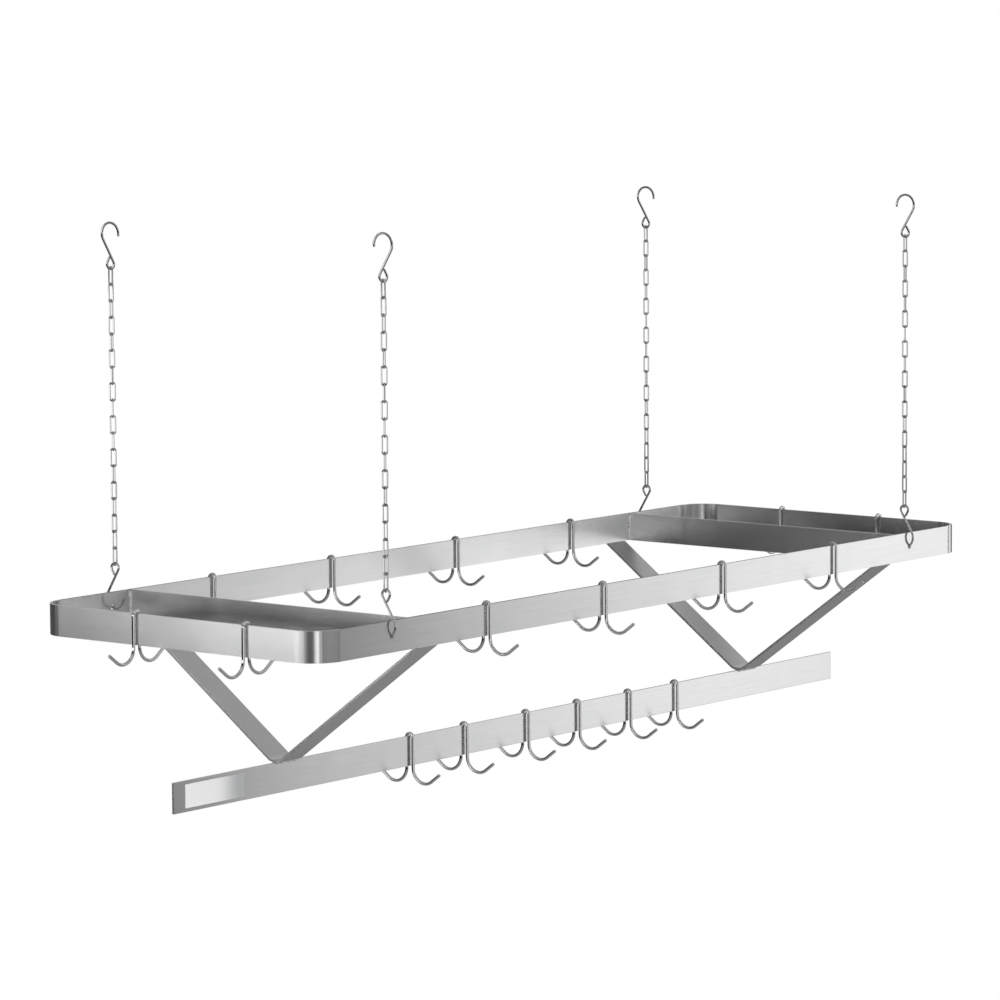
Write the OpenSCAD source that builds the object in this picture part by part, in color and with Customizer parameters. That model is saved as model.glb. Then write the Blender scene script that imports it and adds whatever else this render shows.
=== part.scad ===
// Ceiling hung pot rack: a ring of flat bar on four chains, with a lower bar and double hooks.
// Lengths are in millimetres. X runs along the rack, Y from front to back and Z up.
// The origin is the middle of the four ceiling points, level with where the ceiling hooks bear.

/* [Frame bars] */
// Height of the flat bar that stands on edge
bar_h = 50.8; // [38:0.1:64]
// Thickness of the flat bar
bar_t = 4.8; // [3.2:0.1:6.4]
// Outside length of the ring
ring_l = 1812; // [1600:1:2400]
// Outside width of the ring
ring_w = 604; // [500:1:760]
// Outside radius of the ring's corners
corner_r = 52; // [30:1:80]
// From the ring's end to the middle of each cross bar
cross_in = 220; // [216:1:300]
// Length of the lower bar
lower_l = 1828.8; // [1500:0.1:2400]
// From the ring's top edge down to the lower bar's top edge
lower_drop = 264; // [200:1:360]
// Leg of the fillet welds
weld_leg = 3; // [2:0.1:4]

/* [V straps] */
// From the ring's end to the middle of each strap
strap_in = 263; // [258:1:340]
// Width of the strap
strap_w = 50.8; // [30:0.1:60]
// Thickness of the strap
strap_t = 4.8; // [3.2:0.1:6.4]
// Outside radius of the bend at the strap's foot
strap_bend_r = 24; // [12:1:40]

/* [Chains] */
// Number of links in each chain
link_count = 18; // [10:2:26]
// Wire of the links
link_d = 2.8; // [2:0.1:3.4]
// Length of chain that each link adds
link_pitch = 27.2; // [24:0.1:32]
// Clear width inside a link
link_gap_w = 5.4; // [5.2:0.1:8]
// How far the last link has turned against the first
chain_twist = 90; // [90:180:450]

/* [S hooks] */
// Wire of the hooks at both ends of a chain
s_d = 4; // [3:0.1:4.4]
// Radius of the open bend, at the middle of the wire
s_bend_r = 18.3; // [15:0.1:24]
// Radius of the closed eye, at the middle of the wire
s_eye_r = 7.8; // [6:0.1:10]
// From the middle of the bend to the middle of the eye
s_span = 49.7; // [44:0.1:60]
// Straight run at the open end
s_tip = 2; // [1:0.1:6]
// Holes in the long bars
hole_d = 9.5; // [8.5:0.1:12]
// From the ring's end to each hole
hole_in = 176; // [120:1:190]
// From the bar's middle in to the middle of the bend
s_inset = 8.3; // [6:0.1:9]

/* [Pot hooks] */
// Wire of the pot hooks
hook_d = 5.5; // [4:0.1:7]
// From the bar's top edge down to the underside of the prongs
hook_h = 82; // [75:1:110]
// Radius of a prong, at the middle of the wire
prong_r = 25; // [20:0.5:34]
// Angle at which a prong's end rises
prong_rise = 37; // [20:1:55]
// Straight run at a prong's end
prong_end = 20; // [10:1:30]
// Places of the hooks on the front bar, as shares of half the bay between the straps
front_hook_shares = [-0.79, -0.29, 0.255, 0.795];
// Places of the hooks on the back bar, as shares of the same half bay
back_hook_shares = [-0.78, -0.28, 0.275, 0.82];
// Places of the hooks on the lower bar, as shares of the same half bay
lower_hook_shares = [-0.525, -0.29, -0.015, 0.22, 0.46, 0.685];
// Places of the hooks on the left end, as shares of half its straight run
left_hook_shares = [-0.6, 0.335];
// Places of the hooks on the right end, as shares of half its straight run
right_hook_shares = [-0.465, 0.41];

/* [Fits] */
// Gap where a wire hangs in another or over a bar
hang_gap = 0.4; // [0.3:0.05:0.6]
// Gap between a pot hook's legs and its bar
leg_gap = 1.85; // [0.3:0.05:2.5]

/* [Hidden] */
$fn = 20;
overrun = bar_t;
// Hairline between one run of a bent wire or strap and the next
seam = 0.002;
HOOK_FRONT = ["hook_front_1", "hook_front_2", "hook_front_3", "hook_front_4"];
HOOK_BACK = ["hook_back_1", "hook_back_2", "hook_back_3", "hook_back_4"];
HOOK_LOWER = [
    "hook_lower_1", "hook_lower_2", "hook_lower_3",
    "hook_lower_4", "hook_lower_5", "hook_lower_6"
];
HOOK_LEFT = ["hook_left_1", "hook_left_2"];
HOOK_RIGHT = ["hook_right_1", "hook_right_2"];

steel = [0.72, 0.73, 0.74];
plated = [0.86, 0.87, 0.88];
weld_tone = [0.6, 0.6, 0.61];

// S hook: the shank is the straight line that touches the bend on one side and the eye on the other
s_r = s_d / 2;
s_lean = asin((s_bend_r + s_eye_r) / s_span);
s_shank = s_span * cos(s_lean);
s_meet = s_eye_r / tan(s_lean);
s_close = s_meet - (s_d + hang_gap) / sin(2 * s_lean);

// Links: the straight run between the two round ends
link_r = link_d / 2;
link_end_r = link_gap_w / 2 + link_r;
link_l = link_pitch + link_d + hang_gap;
link_run = link_l - 2 * link_end_r;

// Heights, from the ceiling points down
wire_step = s_r + link_r + hang_gap;
top_bend_z = s_r - s_bend_r;
top_eye_z = top_bend_z - s_span;
top_pin_z = top_eye_z - s_eye_r;
first_link_z = top_pin_z + wire_step;
last_link_z = first_link_z - (link_count - 1) * link_pitch;
low_pin_z = last_link_z - link_l + wire_step;
low_eye_z = low_pin_z - s_eye_r;
low_bend_z = low_eye_z - s_span;
hole_r = hole_d / 2;
s_inner_r = s_bend_r - s_r;
bar_out = s_inset + bar_t / 2;
hole_top_z = low_bend_z - sqrt(s_inner_r * s_inner_r - bar_out * bar_out) + hang_gap;
hole_z = hole_top_z - hole_r;
ring_z = hole_z + bar_h / 2;
ring_low_z = ring_z - bar_h;
lower_z = ring_z - lower_drop;

// Places along and across the rack
cross_x = ring_l / 2 - cross_in;
strap_x = ring_l / 2 - strap_in;
hole_x = ring_l / 2 - hole_in;
rail_y = ring_w / 2 - bar_t / 2;
rail_x = ring_l / 2 - bar_t / 2;
chain_y = rail_y - s_inset;
straight_x = ring_l / 2 - corner_r;
straight_y = ring_w / 2 - corner_r;
bay_half = strap_x - strap_w / 2;

// V strap: the arm is the straight line from the foot's bend to the middle of the long bar
strap_mid_r = strap_bend_r - strap_t / 2;
strap_flat = bar_t / 2;
strap_h = ring_low_z - lower_z;
strap_rise = strap_h - strap_t / 2 - strap_mid_r;
strap_reach = rail_y - strap_flat;
strap_far = sqrt(strap_rise * strap_rise + strap_reach * strap_reach);
strap_a = atan2(strap_rise, strap_reach) + asin(strap_mid_r / strap_far);
strap_arm = sqrt(strap_far * strap_far - strap_mid_r * strap_mid_r) + strap_t;

// Pot hook: straight legs down both faces of the bar, then a prong on each side
hook_r = hook_d / 2;
hook_inner_r = bar_t / 2 + leg_gap;
hook_leg = hook_inner_r + hook_r;
arch_z = -sqrt(pow(hook_inner_r - hang_gap, 2) - pow(bar_t / 2, 2));
prong_z = hook_r + prong_r - hook_h;

// A straight run of wire in the XY plane
module rod(from, to, r) {
    run = to - from;
    translate(from) rotate([0, 90, atan2(run.y, run.x)]) translate([0, 0, seam])
        cylinder(h = norm(run) - 2 * seam, r = r);
}

// The last straight run of a wire, with a rounded end
module wire_end(from, to, r) {
    run = to - from;
    length = norm(run);
    translate(from) rotate([0, 90, atan2(run.y, run.x)]) rotate_extrude() {
        translate([0, seam]) square([r, length - seam]);
        translate([0, length]) intersection() {
            circle(r = r);
            square(r);
        }
    }
}

// A bent wire in the XY plane, from one angle to another
module bend(centre, radius, start, stop, r) {
    translate(centre) rotate([0, 0, start])
        rotate_extrude(angle = stop - start) translate([radius, 0]) circle(r = r);
}

// S hook in the XY plane, with the middle of its open bend at the origin and its eye below
module s_hook() {
    eye = [0, -s_span];
    side = [cos(s_lean), -sin(s_lean)];
    closing = [-sin(s_lean), cos(s_lean)];
    shut = eye + s_eye_r * [cos(s_lean), sin(s_lean)];
    wire_end([-s_bend_r, 0], [-s_bend_r, -s_tip], s_r);
    bend([0, 0], s_bend_r, -s_lean, 180, s_r);
    rod(s_bend_r * side, eye - s_eye_r * side, s_r);
    bend(eye, s_eye_r, 180 - s_lean, 360 + s_lean, s_r);
    wire_end(shut, shut + s_close * closing, s_r);
}

// Welded link in the XY plane, centred
module link() {
    for (side = [-1, 1]) {
        translate([side * link_end_r, link_run / 2, 0]) rotate([90, 0, 0])
            cylinder(h = link_run, r = link_r);
        bend([0, side * link_run / 2], link_end_r, 90 * side - 90, 90 * side + 90, link_r);
    }
}

// Link number k of a chain, hung from its ceiling hook and turned a little more than the last
module chain_link(k) {
    turn = k * (90 + chain_twist / (link_count - 1));
    translate([0, 0, first_link_z - k * link_pitch - link_l / 2])
        rotate([90, 0, turn]) link();
}

// What stands at one corner: side is -1 on the left and 1 on the right, row -1 in front
module at_corner(side, row) {
    translate([side * hole_x, row * chain_y, 0]) children();
}

// Turns a hook from the XY plane into the YZ plane, with its shank on the rack's outer side
module outward(row) {
    mirror([0, (1 - row) / 2, 0]) rotate([90, 0, 90]) children();
}

module ceiling_hook(side, row) {
    color(plated) at_corner(side, row)
        translate([0, 0, top_bend_z]) outward(row) s_hook();
}

module rack_hook(side, row) {
    color(plated) at_corner(side, row)
        translate([0, 0, low_bend_z]) mirror([0, 0, 1]) outward(row) s_hook();
}

module top_link(side, row) {
    color(plated) at_corner(side, row) chain_link(0);
}

module end_link(side, row) {
    color(plated) at_corner(side, row) chain_link(link_count - 1);
}

module chain(side, row) {
    color(plated) at_corner(side, row)
        for (k = [1 : link_count - 2]) chain_link(k);
}

// Long side of the ring, with a hole near each end for the chain's hook
module long_bar(row) {
    color(steel) difference() {
        translate([-straight_x, row * rail_y - bar_t / 2, ring_low_z])
            cube([2 * straight_x, bar_t, bar_h]);
        for (side = [-1, 1])
            translate([side * hole_x, row * rail_y, hole_z]) rotate([90, 0, 0])
                cylinder(h = bar_t + 2 * overrun, r = hole_r, center = true);
    }
}

// End of the ring, bent round two corners
module end_bend(side) {
    color(steel) mirror([(1 - side) / 2, 0, 0]) {
        translate([rail_x - bar_t / 2, -straight_y, ring_low_z])
            cube([bar_t, 2 * straight_y, bar_h]);
        for (row = [-1, 1])
            translate([straight_x, row * straight_y, ring_low_z])
                rotate([0, 0, 45 * row - 45]) rotate_extrude(angle = 90)
                    translate([corner_r - bar_t, 0]) square([bar_t, bar_h]);
    }
}

module cross_bar(side) {
    color(steel) translate([side * cross_x - bar_t / 2, bar_t / 2 - rail_y, ring_low_z])
        cube([bar_t, 2 * rail_y - bar_t, bar_h]);
}

module lower_bar() {
    color(steel) translate([-lower_l / 2, -bar_t / 2, lower_z - bar_h])
        cube([lower_l, bar_t, bar_h]);
}

// Half of the V, from the middle of its foot up to the long bar at the back
module strap_half() {
    translate([-strap_w / 2, 0, 0]) cube([strap_w, strap_flat, strap_t]);
    translate([0, strap_flat, strap_bend_r]) rotate([0, 90, 0])
        translate([0, 0, -strap_w / 2]) rotate_extrude(angle = strap_a)
            translate([strap_bend_r - strap_t, 0]) square([strap_t, strap_w]);
    difference() {
        translate([0, strap_flat, strap_bend_r]) rotate([strap_a, 0, 0])
            translate([-strap_w / 2, seam, -strap_bend_r]) cube([strap_w, strap_arm, strap_t]);
        translate([-strap_w, 0, strap_h]) cube([2 * strap_w, 2 * rail_y, strap_arm]);
    }
}

module v_strap(side) {
    color(steel) translate([side * strap_x, 0, lower_z]) {
        strap_half();
        mirror([0, 1, 0]) strap_half();
    }
}

// Round backed fillet weld along Z, in the corner between +X and +Y
module fillet(run) {
    linear_extrude(run, center = true) intersection() {
        circle(r = weld_leg);
        square(weld_leg);
    }
}

// Welds on both sides of a cross bar, at both long bars
module cross_welds(side) {
    color(weld_tone) for (row = [-1, 1], face = [-1, 1])
        translate([side * cross_x + face * bar_t / 2, row * (rail_y - bar_t / 2), hole_z])
            mirror([(1 - face) / 2, 0, 0]) mirror([0, (1 + row) / 2, 0])
                fillet(bar_h - 2 * weld_leg);
}

// Welds under a strap's foot, along both faces of the lower bar
module strap_welds(side) {
    color(weld_tone) for (row = [-1, 1])
        translate([side * strap_x, row * bar_t / 2, lower_z])
            mirror([0, (1 - row) / 2, 0]) rotate([90, 0, 90]) mirror([0, 1, 0]) fillet(strap_w);
}

// Double hook in the XY plane, with the middle of the bar's top edge at the origin
module pot_hook() {
    tip_turn = [cos(prong_rise), sin(prong_rise)];
    bend([0, arch_z], hook_leg, 0, 180, hook_r);
    for (side = [0, 1]) mirror([side, 0, 0]) {
        low = [hook_leg + prong_r, prong_z];
        lift = low + prong_r * [sin(prong_rise), -cos(prong_rise)];
        rod([hook_leg, arch_z], [hook_leg, prong_z], hook_r);
        bend(low, prong_r, 180, 270 + prong_rise, hook_r);
        wire_end(lift, lift + prong_end * tip_turn, hook_r);
    }
}

module rail_hook(share, row) {
    color(plated) translate([share * bay_half, row * rail_y, ring_z])
        rotate([90, 0, 90]) pot_hook();
}

module lower_hook(share) {
    color(plated) translate([share * bay_half, 0, lower_z])
        rotate([90, 0, 90]) pot_hook();
}

module end_hook(share, side) {
    color(plated) translate([side * rail_x, share * straight_y, ring_z])
        rotate([90, 0, 0]) pot_hook();
}

ceiling_hook(-1, -1);  // ceiling_hook_fl
ceiling_hook(1, -1);  // ceiling_hook_fr
ceiling_hook(-1, 1);  // ceiling_hook_bl
ceiling_hook(1, 1);  // ceiling_hook_br
top_link(-1, -1);  // top_link_fl
top_link(1, -1);  // top_link_fr
top_link(-1, 1);  // top_link_bl
top_link(1, 1);  // top_link_br
chain(-1, -1);  // chain_fl
chain(1, -1);  // chain_fr
chain(-1, 1);  // chain_bl
chain(1, 1);  // chain_br
end_link(-1, -1);  // end_link_fl
end_link(1, -1);  // end_link_fr
end_link(-1, 1);  // end_link_bl
end_link(1, 1);  // end_link_br
rack_hook(-1, -1);  // rack_hook_fl
rack_hook(1, -1);  // rack_hook_fr
rack_hook(-1, 1);  // rack_hook_bl
rack_hook(1, 1);  // rack_hook_br
long_bar(-1);  // long_bar_front
long_bar(1);  // long_bar_back
end_bend(-1);  // end_bend_left
end_bend(1);  // end_bend_right
cross_bar(-1);  // cross_bar_left
cross_bar(1);  // cross_bar_right
lower_bar();
v_strap(-1);  // v_strap_left
v_strap(1);  // v_strap_right
cross_welds(-1);  // cross_welds_left
cross_welds(1);  // cross_welds_right
strap_welds(-1);  // strap_welds_left
strap_welds(1);  // strap_welds_right
for (i = [0 : len(HOOK_FRONT) - 1])
    rail_hook(front_hook_shares[i], -1);
for (i = [0 : len(HOOK_BACK) - 1])
    rail_hook(back_hook_shares[i], 1);
for (i = [0 : len(HOOK_LEFT) - 1])
    end_hook(left_hook_shares[i], -1);
for (i = [0 : len(HOOK_RIGHT) - 1])
    end_hook(right_hook_shares[i], 1);
for (i = [0 : len(HOOK_LOWER) - 1])
    lower_hook(lower_hook_shares[i]);
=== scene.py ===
import math

import bmesh
import bpy
from mathutils import Matrix, Vector


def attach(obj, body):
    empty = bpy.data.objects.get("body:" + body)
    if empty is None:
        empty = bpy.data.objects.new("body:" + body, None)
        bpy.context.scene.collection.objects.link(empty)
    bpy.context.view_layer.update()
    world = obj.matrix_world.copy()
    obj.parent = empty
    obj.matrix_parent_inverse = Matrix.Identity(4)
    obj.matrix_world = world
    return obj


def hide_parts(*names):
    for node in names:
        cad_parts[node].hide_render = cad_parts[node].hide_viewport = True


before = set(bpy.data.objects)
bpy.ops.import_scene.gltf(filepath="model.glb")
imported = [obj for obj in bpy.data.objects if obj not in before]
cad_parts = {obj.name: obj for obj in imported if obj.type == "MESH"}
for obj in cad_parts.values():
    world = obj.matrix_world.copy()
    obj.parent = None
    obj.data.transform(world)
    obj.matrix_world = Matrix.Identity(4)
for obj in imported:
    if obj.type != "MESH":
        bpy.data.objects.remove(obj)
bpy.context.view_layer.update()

# Metres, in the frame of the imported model: X along the rack, Y from front to back, Z up.
BAR_H = 0.0508                  # flat bar of 2 in by 3/16 in, on edge
BAR_T = 0.0048
RING_LOW = -0.607746 - BAR_H    # underside of the ring
LOWER_TOP = -0.871746           # upper edge of the lower bar
STRAIGHT_X = 0.854              # where the long bars meet the end bends
RAIL_Y = 0.2996                 # middle of a long bar
SIDES = {"left": -1, "right": 1}
STRAP_X = 0.643                 # middle of a V strap
STRAP_W = 0.0508
STRAP_R = 0.024                 # outside of a V strap's bends
STRAP_SLOPE = math.radians(35.996)
STRAP_H = RING_LOW - LOWER_TOP

# Sizes of the finish.
EDGE_BREAK = 0.0006             # radius of a bar's softened edges
SAME_POINT = 1e-5               # points of a CAD mesh nearer than this are one point
FLAT_ANGLE = math.radians(0.5)  # faces within this angle are one flat face
SHARP_ANGLE = math.radians(40)  # edges above this angle are sheared ones

FLOOR_Z = -3.4
FLOOR_HALF = 11


# ---------------------------------------------------------------- shader maths

class Wire:
    """A value in a node tree, so that shader maths reads as an expression."""

    def __init__(self, paint, socket):
        self.paint, self.socket = paint, socket

    def maths(self, operation, *values):
        return self.paint.add("ShaderNodeMath", {"operation": operation}, *values)

    def __add__(self, other):
        return self.maths("ADD", self, other)

    def __sub__(self, other):
        return self.maths("SUBTRACT", self, other)

    def __mul__(self, other):
        return self.maths("MULTIPLY", self, other)

    def __rsub__(self, other):
        return self.maths("SUBTRACT", other, self)

    __radd__ = __add__
    __rmul__ = __mul__

    def rise(self, start, stop):
        """0 up to start, 1 from stop on, and smooth between them."""
        return self.paint.add(
            "ShaderNodeMapRange", {"interpolation_type": "SMOOTHSTEP"}, self, start, stop, 0, 1)


class Paint:
    """The node tree of a material or of the world."""

    def __init__(self, owner):
        owner.use_nodes = True
        self.owner, self.tree = owner, owner.node_tree
        self.tree.nodes.clear()

    def node(self, kind, settings, *values, **named):
        """A node of a type, with its settings first and then values or links for its sockets, in
        their order or by their names. None leaves a socket as it is."""
        made = self.tree.nodes.new(kind)
        for key, value in settings.items():
            setattr(made, key, value)
        for key, value in [*enumerate(values), *named.items()]:
            socket = made.inputs[key.replace("_", " ") if isinstance(key, str) else key]
            if isinstance(value, Wire):
                self.tree.links.new(value.socket, socket)
            elif value is not None:
                socket.default_value = value
        return made

    def add(self, kind, settings, *values, out=0, **named):
        """The same, given as one of the node's outputs."""
        return Wire(self, self.node(kind, settings, *values, **named).outputs[out])

    def spot(self):
        """Object coordinates, in metres."""
        return self.add("ShaderNodeTexCoord", {}, out="Object")

    def place(self, scale=(1, 1, 1)):
        """Object coordinates, stretched along each axis."""
        return self.add("ShaderNodeMapping", {"vector_type": "POINT"}, self.spot(), Scale=scale)

    def noise(self, spot, size, detail=2, rough=0.5):
        """Noise from 0 to 1, whose grains are `size` wide in the units of spot."""
        return self.add(
            "ShaderNodeTexNoise", {}, spot, Scale=1 / size, Detail=detail, Roughness=rough)

    def shade(self, mask, low, high):
        """A colour from low where the mask is 0 to high where it is 1."""
        other_kinds = [None] * 5    # the sockets that mix numbers and vectors
        colours = (*low, 1), (*high, 1)
        return self.add("ShaderNodeMix", {"data_type": "RGBA"}, mask, *other_kinds, *colours, out=2)

    def bump(self, height, strength, depth):
        return self.add("ShaderNodeBump", {}, Strength=strength, Distance=depth, Height=height)

    def surface(self, **named):
        """Ends a material in one Principled shader, and gives the material."""
        made = self.node("ShaderNodeBsdfPrincipled", {}, **named)
        end = self.node("ShaderNodeOutputMaterial", {})
        self.tree.links.new(made.outputs[0], end.inputs[0])
        return self.owner


def fresh(name):
    return Paint(bpy.data.materials.new(name))


# ---------------------------------------------------------------- finishes

def satin(name, grain, streak=0.93, rough=0.2):
    """Brushed flat bar. `grain` is how fast the lines change along each axis, and `streak` how much
    further reflections spread across the grain than along it."""
    paint = fresh(name)
    lines = paint.noise(paint.place(grain), size=0.00045, detail=3, rough=0.6)
    streaks = paint.noise(paint.place(grain), size=0.11, detail=4, rough=0.6)
    cloud = paint.noise(paint.place(), size=0.06, detail=4)
    tone = 0.5 * streaks + 0.15 * lines + 0.35 * cloud
    cool_grey, warm_grey = (0.71, 0.715, 0.72), (0.78, 0.78, 0.775)
    return paint.surface(
        Base_Color=paint.shade(tone.rise(0.3, 0.7), cool_grey, warm_grey),
        Metallic=1.0,
        Roughness=rough - 0.03 + 0.04 * lines + 0.03 * cloud,
        Normal=paint.bump(lines, strength=0.12, depth=0.00004),
        Anisotropic=streak,
        Anisotropic_Rotation=0.25,
    )


def bright_wire(name, tone, rough):
    """Plated round wire: nearly a mirror, with faint draw marks and a few dull spots."""
    paint = fresh(name)
    marks = paint.noise(paint.place(), size=0.0009, detail=3, rough=0.6)
    dull = paint.noise(paint.place(), size=0.011).rise(0.55, 0.8)
    clean, dulled = (tone, tone, tone), (0.9 * tone, 0.9 * tone, 0.89 * tone)
    return paint.surface(
        Base_Color=paint.shade(dull, clean, dulled),
        Metallic=1.0,
        Roughness=rough + 0.02 * marks + 0.06 * dull,
        Normal=paint.bump(marks, strength=0.02, depth=0.00002),
    )


def weld_bead():
    """Welds, brushed over: bright on the crowns, with a straw tint and pits between them."""
    paint = fresh("weld_bead")
    pits = paint.noise(paint.place(), size=0.0008, detail=4, rough=0.65)
    tint = paint.noise(paint.place(), size=0.0035).rise(0.48, 0.6)
    bright, straw = (0.95, 0.95, 0.94), (0.6, 0.58, 0.55)
    return paint.surface(
        Base_Color=paint.shade(tint, bright, straw),
        Metallic=0.5,
        Roughness=0.3 + 0.2 * pits,
        Normal=paint.bump(pits, strength=0.35, depth=0.0002),
    )


def label_face():
    """Bare sticker: white film that turns to silver towards its right end."""
    paint = fresh("label_face")
    along = paint.add("ShaderNodeSeparateXYZ", {}, paint.spot())
    fade = along.rise(-0.815, -0.755)
    speck = paint.noise(paint.place(), size=0.0012)
    white, silver = (0.98, 0.98, 0.98), (0.66, 0.67, 0.68)
    return paint.surface(
        Base_Color=paint.shade(fade, white, silver),
        Metallic=fade * 0.55,
        Roughness=0.34 + 0.12 * speck,
        Normal=paint.bump(speck, strength=0.05, depth=0.00003),
    )


# ---------------------------------------------------------------- pieces

def finish_piece(name, bm, body, material, stands_for=()):
    """Turns a bmesh into a piece that rides on a body, with its flat faces shaded flat, and hides
    the CAD nodes that it stands for."""
    mesh = bpy.data.meshes.new(name)
    bm.to_mesh(mesh)
    bm.free()
    mesh.shade_smooth()
    mesh.materials.append(material)
    piece = bpy.data.objects.new(name, mesh)
    bpy.context.scene.collection.objects.link(piece)
    even = piece.modifiers.new("even_shading", "WEIGHTED_NORMAL")
    even.keep_sharp = True
    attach(piece, body)
    if stands_for:
        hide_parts(*stands_for)
    return piece


def break_edges(bm):
    """Rounds the sharp edges of a sheared and polished bar."""
    sharp = [e for e in bm.edges if len(e.link_faces) == 2 and e.calc_face_angle(0) > SHARP_ANGLE]
    bmesh.ops.bevel(bm, geom=sharp, offset=EDGE_BREAK, offset_type="OFFSET", affect="EDGES",
                    segments=3, profile=0.5, material=-1, clamp_overlap=True)


def traced(nodes):
    """A merged copy of the meshes of CAD bars, with no edge marked sharp."""
    bm = bmesh.new()
    for node in nodes:
        bm.from_mesh(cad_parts[node].data)
    bmesh.ops.remove_doubles(bm, verts=bm.verts, dist=SAME_POINT)
    for edge in bm.edges:
        edge.smooth = True
    return bm


def soften(bm):
    """Makes the flat faces of a traced mesh whole again and breaks its edges."""
    bmesh.ops.dissolve_limit(bm, angle_limit=FLAT_ANGLE, verts=bm.verts, edges=bm.edges)
    break_edges(bm)


def polished_bar(node, material):
    """One flat bar with its edges broken."""
    bm = traced([node])
    soften(bm)
    return finish_piece("polished_" + node, bm, "rack", material, [node])


def welded_ring(material):
    """Both long bars and both end bends as one band, because their butt welds are ground flush."""
    nodes = ["long_bar_front", "long_bar_back", "end_bend_left", "end_bend_right"]
    bm = traced(nodes)
    butts = [face for face in bm.faces
             if all(abs(abs(v.co.x) - STRAIGHT_X) < SAME_POINT for v in face.verts)]
    bmesh.ops.delete(bm, geom=butts, context="FACES")
    soften(bm)
    return finish_piece("welded_ring", bm, "rack", material, nodes)


def grow(bm, edges, move):
    """Pulls an open section on by a straight step, and gives its new edges."""
    out = bmesh.ops.extrude_edge_only(bm, edges=edges)["geom"]
    bmesh.ops.translate(bm, verts=[g for g in out if isinstance(g, bmesh.types.BMVert)], vec=move)
    return [g for g in out if isinstance(g, bmesh.types.BMEdge) and g.is_boundary]


def turn(bm, edges, centre, axis, angle, steps):
    """Bends an open section round a centre, and gives its new edges."""
    out = bmesh.ops.spin(bm, geom=edges, cent=centre, axis=axis, angle=angle, steps=steps)
    return [g for g in out["geom_last"] if isinstance(g, bmesh.types.BMEdge)]


def bent_strap(side, material):
    """Flat bar bent to a V: flat foot, two bends, and arms cut level under the ring. The back half
    is swept from a section across the foot's middle, and then mirrored."""
    bm = bmesh.new()
    section = bmesh.ops.create_grid(bm, x_segments=1, y_segments=1, size=0.5)["verts"]
    bmesh.ops.delete(bm, geom=bm.faces[:], context="FACES_ONLY")
    bmesh.ops.scale(bm, verts=section, vec=(STRAP_W, BAR_T, 1))
    bmesh.ops.rotate(bm, verts=section, cent=(0, 0, 0), matrix=Matrix.Rotation(math.pi / 2, 3, "X"))
    bmesh.ops.translate(bm, verts=section, vec=(0, 0, BAR_T / 2))
    flat, past_rail = BAR_T / 2, 1.1 * RAIL_Y
    edges = grow(bm, bm.edges[:], (0, flat, 0))
    edges = turn(bm, edges, (0, flat, STRAP_R), (1, 0, 0), STRAP_SLOPE, 12)
    grow(bm, edges, (0, past_rail, past_rail * math.tan(STRAP_SLOPE)))
    cut = bmesh.ops.bisect_plane(
        bm, geom=bm.verts[:] + bm.edges[:] + bm.faces[:], plane_co=(0, 0, STRAP_H),
        plane_no=(0, 0, 1), clear_outer=True)["geom_cut"]
    bmesh.ops.edgeloop_fill(bm, edges=[g for g in cut if isinstance(g, bmesh.types.BMEdge)])
    touching = 1e-6
    half = bm.verts[:] + bm.edges[:] + bm.faces[:]
    bmesh.ops.mirror(bm, geom=half, axis="Y", merge_dist=touching)
    bmesh.ops.remove_doubles(bm, verts=bm.verts, dist=touching)
    bmesh.ops.recalc_face_normals(bm, faces=bm.faces)
    break_edges(bm)
    bmesh.ops.translate(bm, verts=bm.verts, vec=(SIDES[side] * STRAP_X, 0, LOWER_TOP))
    name, node = "bent_strap_" + side, "v_strap_" + side
    return finish_piece(name, bm, "rack", material, [node])


def label_plate():
    """The sticker at the left end of the lower bar, left bare."""
    left, right, low, high = -0.888, -0.746, LOWER_TOP - 0.0446, LOWER_TOP - 0.006
    film, corner_r = 0.00018, 0.0012
    middle = (left + right) / 2, -BAR_T / 2 - film / 2, (low + high) / 2
    bm = bmesh.new()
    bmesh.ops.create_cube(bm, size=1)
    bmesh.ops.scale(bm, verts=bm.verts, vec=(right - left, film, high - low))
    bmesh.ops.translate(bm, verts=bm.verts, vec=middle)
    corners = [e for e in bm.edges if abs(e.verts[0].co.y - e.verts[1].co.y) > film / 2]
    bmesh.ops.bevel(bm, geom=corners, offset=corner_r, offset_type="OFFSET", affect="EDGES",
                    segments=4, profile=0.5, material=-1)
    return finish_piece("label_plate", bm, "rack", label_face())


def dress_rack():
    """Gives every bar, strap, hook, link and weld its finish."""
    along_x = satin("satin_along_x", (1, 40, 40))
    along_y = satin("satin_along_y", (40, 1, 40))
    level = satin("satin_level", (1, 1, 40))
    sloped = satin("satin_sloped", (40, 1, 1), streak=0, rough=0.34)
    welded_ring(level)
    polished_bar("lower_bar", along_x)
    for side in SIDES:
        polished_bar("cross_bar_" + side, along_y)
        bent_strap(side, sloped)
    label_plate()
    bead = weld_bead()
    hook = bright_wire("plated_hook", tone=0.8, rough=0.02)
    chain = bright_wire("plated_chain", tone=0.6, rough=0.05)
    for name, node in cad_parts.items():
        if name.startswith(("cross_welds", "strap_welds")):
            node.data.materials[0] = bead
        elif name.startswith(("ceiling_hook", "rack_hook", "top_link", "end_link", "chain")):
            node.data.materials[0] = chain
        elif name.startswith("hook_"):
            node.data.materials[0] = hook


# ---------------------------------------------------------------- studio

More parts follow.
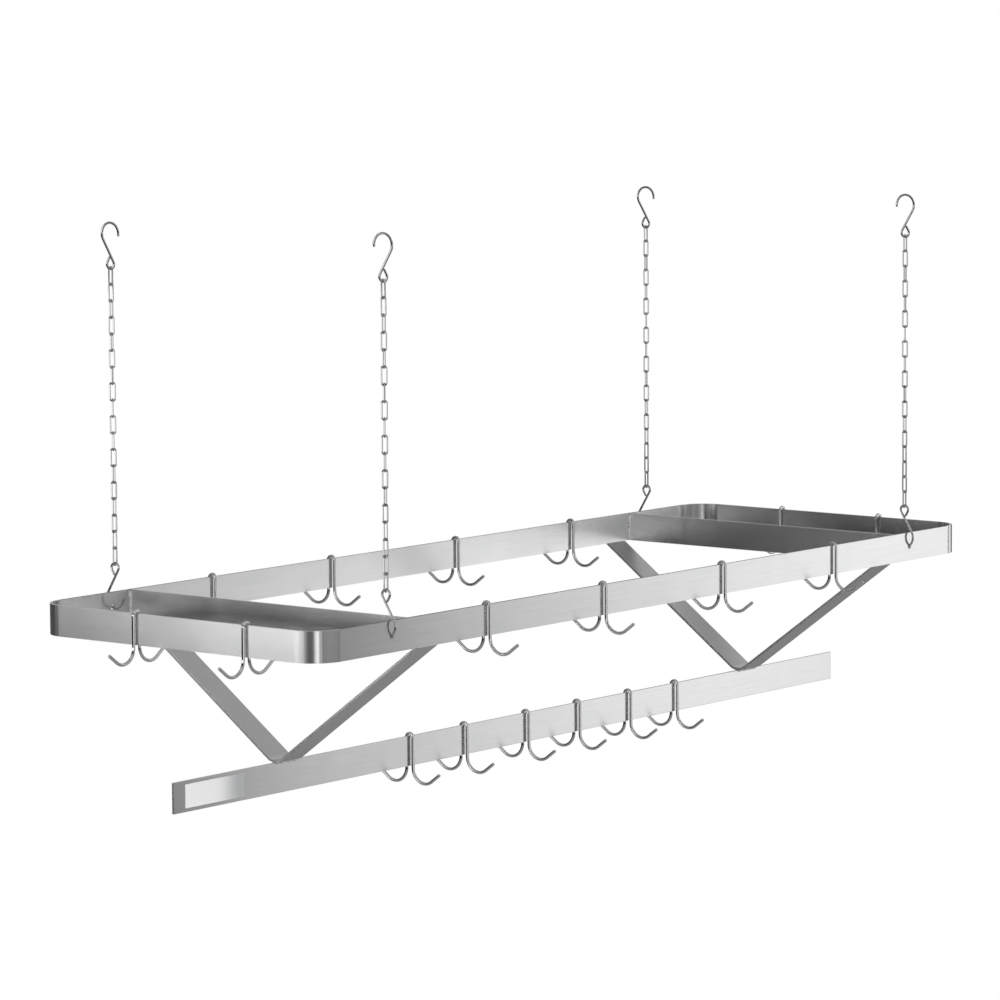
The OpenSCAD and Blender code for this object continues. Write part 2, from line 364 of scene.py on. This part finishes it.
def soft_wall(name, start, end, low, high, glow, glossy=True):
    """An upright softbox between two points on the floor plan, which faces the rack and whose face
    has the radiance `glow`."""
    up = Vector((0, 0, 1))
    centre = Vector(((start[0] + end[0]) / 2, (start[1] + end[1]) / 2, (low + high) / 2))
    along = Vector((end[0] - start[0], end[1] - start[1], 0))
    lamp = bpy.data.lights.new(name, "AREA")
    lamp.shape, lamp.size, lamp.size_y = "RECTANGLE", along.length, high - low
    lamp.energy = glow * math.pi * along.length * (high - low)
    if along.cross(up).dot(centre) < 0:
        along.negate()
    along.normalize()
    facing = Matrix((along, up, along.cross(up))).transposed().to_4x4()
    wall = bpy.data.objects.new(name, lamp)
    wall.matrix_world = Matrix.Translation(centre) @ facing
    wall.visible_camera = False
    wall.visible_glossy = glossy
    bpy.context.scene.collection.objects.link(wall)


def studio_air():
    """White to the eye. The metal sees a quiet studio: pale overhead, grey in front of the rack and
    behind its right end, and nearly dark elsewhere."""
    paint = Paint(bpy.data.worlds.new("studio_air"))
    bpy.context.scene.world = paint.owner
    aim = paint.add("ShaderNodeTexCoord", {}, out="Generated")
    east, north, up = [Wire(paint, s) for s in paint.node("ShaderNodeSeparateXYZ", {}, aim).outputs]
    behind = (0.9 * east + 0.44 * north).rise(0.6, 0.9)
    behind = behind * (0.35 * up.rise(-0.25, -0.12) + 0.65 * up.rise(-0.02, 0.06))
    front = (0.34 * east - 0.94 * north).rise(0.35, 0.8)
    above = east.rise(-0.5, 0.2) * up.rise(0.1, 0.5) * (1 - 0.5 * up.rise(0.6, 0.7))
    above = above + 0.8 * (1 - east.rise(-0.5, 0.2)) * up.rise(0.4, 0.7)
    glow = 0.01 + 0.07 * north.rise(0.75, 0.95) + 0.335 * front + 0.52 * above
    glow = glow + 0.4 * behind * (1 - up.rise(0.25, 0.6))
    eye = paint.add("ShaderNodeLightPath", {}, out="Is Camera Ray")
    air = paint.node("ShaderNodeBackground", {}, (1, 1, 1, 1), eye + (1 - eye) * glow)
    paint.tree.links.new(air.outputs[0], paint.node("ShaderNodeOutputWorld", {}).inputs[0])


def pale_floor():
    """White to the eye, pale to the light, and a quiet grey where the metal shows it."""
    paint = fresh("pale_floor")
    rays = paint.node("ShaderNodeLightPath", {})
    reach = paint.add("ShaderNodeVectorMath", {"operation": "LENGTH"}, paint.spot(), out="Value")
    grey = 0.01 + 0.29 * (1 - reach.rise(5.5, 9.5))
    eye = Wire(paint, rays.outputs["Is Camera Ray"])
    shine = Wire(paint, rays.outputs["Is Glossy Ray"])
    matt = paint.add("ShaderNodeBsdfDiffuse", {}, (0.8, 0.8, 0.8, 1))
    seen = paint.add("ShaderNodeEmission", {}, (1, 1, 1, 1), eye + (1 - eye) * grey)
    both = paint.add("ShaderNodeMixShader", {}, eye + (1 - eye) * shine, matt, seen)
    paint.tree.links.new(both.socket, paint.node("ShaderNodeOutputMaterial", {}).inputs[0])
    bm = bmesh.new()
    bmesh.ops.create_grid(bm, x_segments=1, y_segments=1, size=FLOOR_HALF)
    bmesh.ops.translate(bm, verts=bm.verts, vec=(0, 0, FLOOR_Z))
    mesh = bpy.data.meshes.new("studio_floor")
    bm.to_mesh(mesh)
    bm.free()
    mesh.materials.append(paint.owner)
    floor = bpy.data.objects.new("studio_floor", mesh)
    bpy.context.scene.collection.objects.link(floor)


def folding_screen(name, low, high, *folds):
    """Soft walls from point to point. Each fold is (x, y, glow of the wall that starts there), and
    the last one only ends the screen."""
    for number, (start, end) in enumerate(zip(folds, folds[1:])):
        soft_wall(name + "_" + str(number), start[:2], end[:2], low, high, start[2])


def light_rack():
    """Screens for the bars to mirror: one to the right of the front, one far to the right, one past
    the left end and one round the camera. Their glow changes in steps, as the bars' tones do."""
    right_y = -2.5
    right_steps = (
        (1.6, 0.03), (1.75, 0.07), (1.87, 0.16), (1.97, 0.27), (2.08, 0.36), (2.2, 0.43),
        (2.35, 0.49), (2.55, 0.54), (2.75, 0.61), (2.95, 0.7), (3.2, 0.78), (3.6, 0.87), (5.0, 0))
    folding_screen("right_screen", -2.6, 0.45, *[(x, right_y, glow) for x, glow in right_steps])
    folding_screen("east_screen", -3.3, -0.6, (10.2, -3.71, 0.9), (12.0, -0.5, 0))
    folding_screen(
        "left_screen", -0.85, -0.25,
        (-1.25, 1.35, 0.08), (-1.5, 1.6, 0.24), (-2.2, 2.0, 0.8), (-2.36, 1.8, 1.0),
        (-2.48, 1.62, 1.6), (-2.58, 1.46, 2.65), (-2.66, 1.3, 3.0), (-2.9, 0.4, 2.4),
        (-3.0, 0.0, 1.9), (-3.0, -0.35, 0.9), (-3.0, -0.7, 0.35), (-2.95, -1.0, 0.3),
        (-3.2, -2.5, 0))
    folding_screen(
        "camera_screen", -2.6, 0.6,
        (-8.0, -4.3, 0.1), (-7.5, -5.0, 0.45), (-7.3, -5.25, 0.85), (-6.9, -5.75, 1.6),
        (-5.6, -6.85, 0.5), (-4.4, -7.7, 0))
    soft_wall("fill", (-3.5, -3.5), (-0.5, -4.5), 0.5, 3.5, 5.0, glossy=False)


def photo_camera():
    """The photograph's view, fitted to the bars' edges and the hooks' places."""
    lens = bpy.data.cameras.new("photo_camera")
    sensor, focal_widths = 36, 4.85865
    lens.sensor_width = sensor
    lens.lens = sensor * focal_widths
    lens.clip_end = 100
    camera = bpy.data.objects.new("photo_camera", lens)
    heading, tilt, roll = 0.896425, -0.110211, -0.006414
    camera.matrix_world = (
        Matrix.Translation((-6.545039, -5.170711, 0.421352))
        @ Matrix.Rotation(-heading, 4, "Z")
        @ Matrix.Rotation(math.pi / 2 + tilt, 4, "X")
        @ Matrix.Rotation(roll, 4, "Z")
    )
    bpy.context.scene.collection.objects.link(camera)
    bpy.context.scene.camera = camera


photo_camera()
dress_rack()
studio_air()
pale_floor()
light_rack()
bpy.context.scene.view_settings.view_transform = "Standard"
